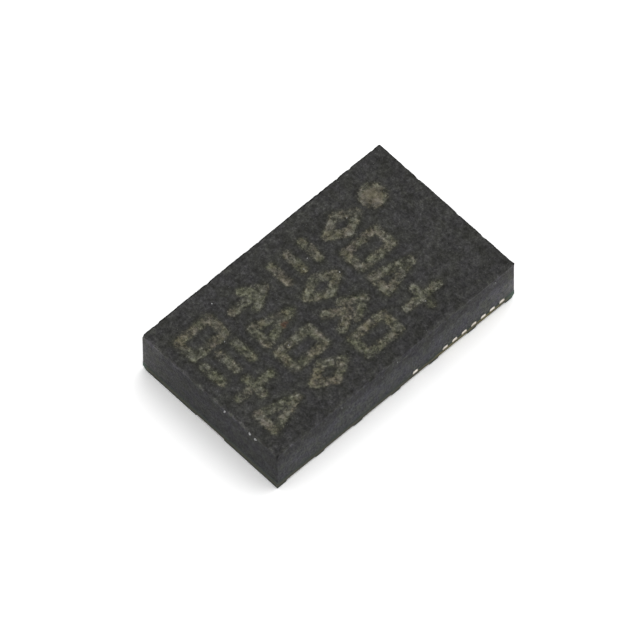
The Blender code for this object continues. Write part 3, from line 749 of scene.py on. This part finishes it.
def wall_epoxy(tree, epoxy, grain):
    """The epoxy on the sawn walls: smeared smoother, paler in the sheen with a painted reflection,
    darkened with painted shade, and rubbed paler and lit with painted light near two upright edges.
    """
    streaks = noise_value(tree, coordinates(tree, (3.0, 3.0, 18.0)), 1.0, 3.0, 0.8)
    grit = noise_value(tree, coordinates(tree), 8.0, 4.0, 0.95)
    both = blend(tree, blend(tree, grit, streaks, 0.08), grain, 0.32)
    smear = ramp(tree, both, ((0.39, (0.011, 0.011, 0.012)), (0.61, (0.042, 0.042, 0.043))))
    # painted reflection: the sheen's paler colour stands in for the white floor mirrored in the smooth
    # lower walls
    sheen_reflection_colour = ramp(tree, both, ((0.385, (0.012, 0.013, 0.0135)), (0.615, (0.062, 0.064, 0.066))))
    wall = mix(tree, share(tree, "sheen"), mix(tree, 0.35, epoxy, smear), sheen_reflection_colour)
    # painted shade on the walls, darker towards the near corner
    wall = mix(tree, share(tree, "painted_shade"), wall, multiply(tree, wall, SHADE_TINT))
    # scuffs and painted light near the two outer upright edges
    return mix(tree, share(tree, "scuff_and_light"), wall, multiply(tree, wall, SCUFF_AND_LIGHT_TINT))


def burnt_epoxy(tree, place, speckle):
    """Olive where the laser has burnt the epoxy, in parts golden, mottled, with one spot of rust."""
    blotches = noise_value(tree, place, 12.0, 3.0, 0.72)
    mottle = blend(tree, speckle, blotches, 0.68)
    olive = (
        (0.37, (0.024, 0.025, 0.016)),
        (0.465, (0.075, 0.077, 0.055)),
        (0.56, (0.131, 0.133, 0.103)),
        (0.67, (0.225, 0.226, 0.188)),
    )
    golden = (
        (0.37, (0.032, 0.029, 0.019)),
        (0.465, (0.100, 0.090, 0.065)),
        (0.56, (0.158, 0.143, 0.110)),
        (0.67, (0.260, 0.243, 0.196)),
    )
    tone = map_range(tree, noise_value(tree, place, 2.6, 3.0, 0.7), (0.45, 0.62), (0.0, 1.0))
    tone = calculate(tree, "MAXIMUM", tone, share(tree, "warm"))
    burnt = mix(tree, tone, ramp(tree, mottle, olive), ramp(tree, mottle, golden))
    return mix(tree, share(tree, "rust"), burnt, RUST_COLOUR)


def mark_cover(tree, place):
    """Share of the laser's colour: ragged at a mark's border, and patchy inside it."""
    fray = noise_value(tree, place, 24.0, 3.0, 0.8)
    shift = map_range(tree, fray, (0.3, 0.7), (-BURN_FRAY, BURN_FRAY))
    frayed = calculate(tree, "ADD", share(tree, "mark_depth"), shift)
    border = map_range(tree, frayed, BURN_BAND, (0.0, 1.0))
    patches = map_range(tree, noise_value(tree, place, 6.0, 4.0, 0.85), (0.40, 0.57), (0.30, 1.0))
    return calculate(tree, "MULTIPLY", border, calculate(tree, "MAXIMUM", patches, share(tree, "warm")))


def mark_lip_highlight(tree, place):
    """Share of the paler, once molten lip along parts of a mark's border, brightened as a painted
    highlight.
    """
    off_lip = calculate(tree, "SUBTRACT", share(tree, "mark_depth"), LIP_DEPTH)
    lip = map_range(tree, calculate(tree, "ABSOLUTE", off_lip), (0.0, LIP_HALF_WIDTH), (0.7, 0.0))
    parts = map_range(tree, noise_value(tree, place, 4.5, 3.0, 0.8), (0.46, 0.58), (0.0, 1.0))
    return calculate(tree, "MULTIPLY", lip, parts)


def moulding_colour(tree, place, speckle, grain):
    """Black epoxy with its burnt marks on the top, sawn on the walls, pale at the edges from wear and
    painted highlight, and dark along the back edges with painted shade.
    """
    epoxy = bare_epoxy(tree, place, speckle)
    halo = map_range(tree, share(tree, "mark_depth"), HALO_BAND, (0.0, 0.9))
    epoxy = mix(tree, halo, epoxy, multiply(tree, epoxy, HALO_TINT))
    burnt = burnt_epoxy(tree, place, speckle)
    burnt = mix(tree, mark_lip_highlight(tree, place), burnt, multiply(tree, burnt, LIP_HIGHLIGHT_TINT))
    top = tinted(tree, place, mix(tree, mark_cover(tree, place), epoxy, burnt), TOP_CASTS)
    wall = tinted(tree, place, wall_epoxy(tree, epoxy, grain), WALL_CASTS)
    colour = mix(tree, share(tree, "wall"), top, wall)
    # wear and painted highlight along the top edges, and the scratch
    colour = mix(tree, share(tree, "worn"), colour, multiply(tree, colour, WEAR_AND_HIGHLIGHT_TINT))
    # painted shade along the back edges
    return mix(tree, share(tree, "rim"), colour, RIM_SHADE_COLOUR)


def moulding_gloss(tree, speckle, grain):
    """Strength of the reflections: speckled, lower on the walls, and almost none in the rim of painted
    shade.
    """
    sawn = map_range(tree, share(tree, "sheen"), (0, 1), (0.58, 0.86))
    sawn = calculate(tree, "MULTIPLY", sawn, map_range(tree, grain, (0.35, 0.65), (0.66, 1.34)))
    factors = (
        mix(tree, share(tree, "wall"), (1.0, 1.0, 1.0), sawn),
        map_range(tree, share(tree, "scuff_and_light"), (0, 1), (1.0, 1.35)),
        map_range(tree, share(tree, "rim"), (0, 1), (1.0, 0.1)),
    )
    gloss = map_range(tree, speckle, (0.36, 0.64), (0.14, 0.44))
    for factor in factors:
        gloss = calculate(tree, "MULTIPLY", gloss, factor)
    return gloss


def moulding_material():
    """The cap's epoxy, with every look that the shares on its skin call for."""
    material, tree, shader = new_material("moulding_epoxy")
    place = coordinates(tree)
    speckle = noise_value(tree, place, 11.0, 4.0, 0.92)
    grain = noise_value(tree, coordinates(tree, (1.0, 1.0, 0.6)), 24.0, 2.0, 0.9)
    fine = bump(tree, noise_value(tree, place, 60.0, 3.0), 0.004)
    dress(
        tree,
        shader,
        colour=moulding_colour(tree, place, speckle, grain),
        roughness=map_range(tree, noise_value(tree, place, 30.0), (0.3, 0.7), (0.50, 0.75)),
        normal=bump(tree, speckle, 0.010, fine),
        specular=moulding_gloss(tree, speckle, grain),
    )
    return material


def grain_material(name, dark, pale):
    """Fused silica seen through a film of epoxy; the bright copy also paints glints."""
    material, tree, shader = new_material(name)
    place = coordinates(tree)
    colour = ramp(tree, noise_value(tree, place, 20.0), ((0.35, dark), (0.65, pale)))
    dress(tree, shader, colour, 0.35, bump(tree, noise_value(tree, place, 90.0), 0.001))
    return material


# Other materials


def corner_share(tree, place):
    """1 at the two corners where X and Y are both far out on the same side, and 0 elsewhere."""
    product = calculate(tree, "MULTIPLY", along_axis(tree, place, "X"), along_axis(tree, place, "Y"))
    return map_range(tree, product, GREEN_CORNER, (0.0, 1.0))


def laminate_material():
    """Sawn glass-epoxy: dark olive resin with the cut ends of its glass threads, golden towards +Y."""
    material, tree, shader = new_material("sawn_laminate")
    place = coordinates(tree)
    threads = noise_value(tree, coordinates(tree, (9.0, 9.0, 70.0)), 1.0, 3.0, 0.7)
    grit = noise_value(tree, place, 40.0, 3.0, 0.8)
    dull = ramp(tree, threads, ((0.35, (0.022, 0.022, 0.014)), (0.65, (0.082, 0.081, 0.050))))
    golden = ramp(tree, threads, ((0.35, (0.050, 0.044, 0.013)), (0.65, (0.195, 0.175, 0.076))))
    reach = map_range(tree, along_axis(tree, place, "Y"), GOLDEN_STRETCH, (0.0, 1.0))
    patches = map_range(tree, noise_value(tree, place, 3.0, 2.0), (0.36, 0.52), (0.15, 1.0))
    colour = mix(tree, calculate(tree, "MULTIPLY", reach, patches), dull, golden)
    colour = multiply(tree, colour, ramp(tree, grit, ((0.35, 0.55), (0.60, 1.25))))
    colour = mix(tree, corner_share(tree, place), colour, (0.045, 0.090, 0.066))
    dress(tree, shader, colour, 0.65, bump(tree, grit, 0.003), specular=0.3)
    return material


def mask_material():
    """Dark green solder mask, a little glossy, greener at two corners."""
    material, tree, shader = new_material("mask_ink")
    place = coordinates(tree)
    cloud = noise_value(tree, place, 14.0, 3.0)
    grit = noise_value(tree, place, 65.0, 2.0)
    colour = ramp(tree, cloud, ((0.3, (0.006, 0.011, 0.007)), (0.7, (0.014, 0.027, 0.018))))
    colour = mix(tree, corner_share(tree, place), colour, (0.030, 0.070, 0.050))
    rough = map_range(tree, grit, (0.3, 0.7), (0.35, 0.6))
    dress(tree, shader, colour, rough, bump(tree, grit, 0.002), specular=0.2)
    return material


def metal_material(name, dark, bright, rough_range, scale):
    """Bright metal with faint smears, about 1/scale millimetres across."""
    material, tree, shader = new_material(name)
    place = coordinates(tree)
    smear = noise_value(tree, place, scale, 3.0)
    colour = ramp(tree, smear, ((0.3, dark), (0.7, bright)))
    rough = map_range(tree, noise_value(tree, place, scale * 2), (0.3, 0.7), rough_range)
    dress(tree, shader, colour, rough, bump(tree, smear, 0.002), metallic=1.0)
    return material


def stone_material(name, dark, bright, roughness, scale):
    """A smooth solid with faint clouds, for the pieces sealed inside."""
    material, tree, shader = new_material(name)
    cloud = noise_value(tree, coordinates(tree), scale, 3.0)
    colour = ramp(tree, cloud, ((0.3, dark), (0.7, bright)))
    dress(tree, shader, colour, roughness, bump(tree, cloud, 0.001))
    return material


def frame_looks():
    """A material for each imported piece, by the start of its name."""
    silicon = stone_material("etched_silicon", (0.10, 0.10, 0.12), (0.20, 0.20, 0.23), 0.25, 8.0)
    film = stone_material("attach_film", (0.35, 0.28, 0.16), (0.50, 0.42, 0.28), 0.5, 10.0)
    plating = metal_material("plated_copper", (0.62, 0.55, 0.46), (0.88, 0.82, 0.73), (0.28, 0.50), 22.0)
    gold = metal_material("gold_wire", (0.75, 0.52, 0.20), (0.95, 0.75, 0.38), (0.15, 0.30), 30.0)
    return {
        "laminate": laminate_material(),
        "solder_mask": mask_material(),
        "terminal": plating,
        "asic_die": silicon,
        "sensor_base": silicon,
        "sensor_cap": silicon,
        "proof_mass": silicon,
        "electrode": silicon,
        "asic_attach": film,
        "sensor_attach": film,
        "seal_ring": stone_material("fired_glass", (0.22, 0.25, 0.22), (0.36, 0.38, 0.35), 0.3, 20.0),
        "pin_wire": gold,
        "sensor_wire": gold,
    }


def dress_frame(nodes):
    """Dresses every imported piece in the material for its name."""
    looks = frame_looks()
    for name, node in nodes.items():
        for start, look in looks.items():
            if name.startswith(start):
                node.data.materials.clear()
                node.data.materials.append(look)


# Stage


def direction(azimuth, elevation):
    """The direction towards a viewer or lamp; azimuth 0 is -Y and 90 is +X."""
    turn, rise = math.radians(azimuth), math.radians(elevation)
    return Vector((math.sin(turn) * math.cos(rise), -math.cos(turn) * math.cos(rise), math.sin(rise)))


def build_camera():
    """A long lens, aimed so that the chip falls where it lies in the photograph."""
    back = direction(CAMERA_AZIMUTH, CAMERA_ELEVATION)
    right = Matrix.Rotation(math.radians(CAMERA_ROLL), 3, back) @ direction(CAMERA_AZIMUTH + 90, 0)
    up = back.cross(right)
    low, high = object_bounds()
    shift_right = (FRAME_PIXELS / 2 - TARGET_PIXEL[0]) / PIXELS_PER_MM * MM
    shift_up = (TARGET_PIXEL[1] - FRAME_PIXELS / 2) / PIXELS_PER_MM * MM
    place = (low + high) / 2 + right * shift_right + up * shift_up + back * CAMERA_DISTANCE * MM

    lens = bpy.data.cameras.new("camera")
    lens.sensor_width = SENSOR_WIDTH
    lens.lens = SENSOR_WIDTH * CAMERA_DISTANCE * PIXELS_PER_MM / FRAME_PIXELS
    lens.clip_start = CAMERA_CLIP[0] * MM
    lens.clip_end = CAMERA_CLIP[1] * MM
    camera = bpy.data.objects.new("camera", lens)
    camera.matrix_world = Matrix.Translation(place) @ Matrix((right, up, back)).transposed().to_4x4()
    bpy.context.scene.collection.objects.link(camera)
    bpy.context.scene.camera = camera


def seen(tree):
    """1 on rays from the camera, mirrors and glass, and 0 on the rays that carry light."""
    path = add_node(tree, "ShaderNodeLightPath")
    straight = calculate(tree, "MAXIMUM", path.outputs["Is Camera Ray"], path.outputs["Is Glossy Ray"])
    return calculate(tree, "MAXIMUM", straight, path.outputs["Is Transmission Ray"])


def build_world():
    """A white surround, dimmer as a light than it looks."""
    world = bpy.data.worlds.new("studio")
    bpy.context.scene.world = world
    world.use_nodes = True
    tree = world.node_tree
    background = tree.nodes["Background"]
    background.inputs["Color"].default_value = (1, 1, 1, 1)
    connect(tree, background.inputs["Strength"], map_range(tree, seen(tree), (0, 1), (SKY_LIGHT, 1.0)))


def build_floor():
    """White paper under the chip."""
    reach = FLOOR_REACH * MM
    mesh = bpy.data.meshes.new("floor")
    corners = [(-reach, -reach, 0), (reach, -reach, 0), (reach, reach, 0), (-reach, reach, 0)]
    mesh.from_pydata(corners, [], [(0, 1, 2, 3)])
    floor = bpy.data.objects.new("floor", mesh)
    floor.location.z = -FLOOR_DROP * MM
    bpy.context.scene.collection.objects.link(floor)
    material, tree, shader = new_material("pale_floor")
    shade = map_range(tree, seen(tree), (0, 1), (FLOOR_SHADE, FLOOR_SEEN))
    paper = add_node(tree, "ShaderNodeBsdfDiffuse", {"Color": shade})
    tree.nodes.remove(shader)
    connect(tree, tree.nodes["Material Output"].inputs["Surface"], paper.outputs[0])
    mesh.materials.append(material)


def build_key_light():
    """A broad soft light from above the end with the dot."""
    lamp = bpy.data.lights.new("key_light", "SUN")
    lamp.energy = KEY_LIGHT
    lamp.angle = math.radians(KEY_SPREAD)
    sun = bpy.data.objects.new("key_light", lamp)
    sun.rotation_mode = "QUATERNION"
    sun.rotation_quaternion = direction(KEY_AZIMUTH, KEY_ELEVATION).to_track_quat("Z", "Y")
    bpy.context.scene.collection.objects.link(sun)


def build_scene():
    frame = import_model()
    bpy.context.scene.view_settings.view_transform = "Standard"
    build_camera()
    dress_frame(frame["nodes"])
    build_cap(moulding_material())
    build_grains(
        grain_material("dull_silica", (0.055, 0.055, 0.055), (0.14, 0.14, 0.135)),
        # bright silica, also painted as glints on the walls
        grain_material("bright_silica_and_glints", (0.24, 0.24, 0.24), (0.55, 0.55, 0.55)),
    )
    smeared = metal_material("smeared_plating", (0.52, 0.47, 0.40), (0.86, 0.82, 0.76), (0.35, 0.60), 9.0)
    build_stub_ends(smeared)
    build_world()
    build_floor()
    build_key_light()


build_scene()
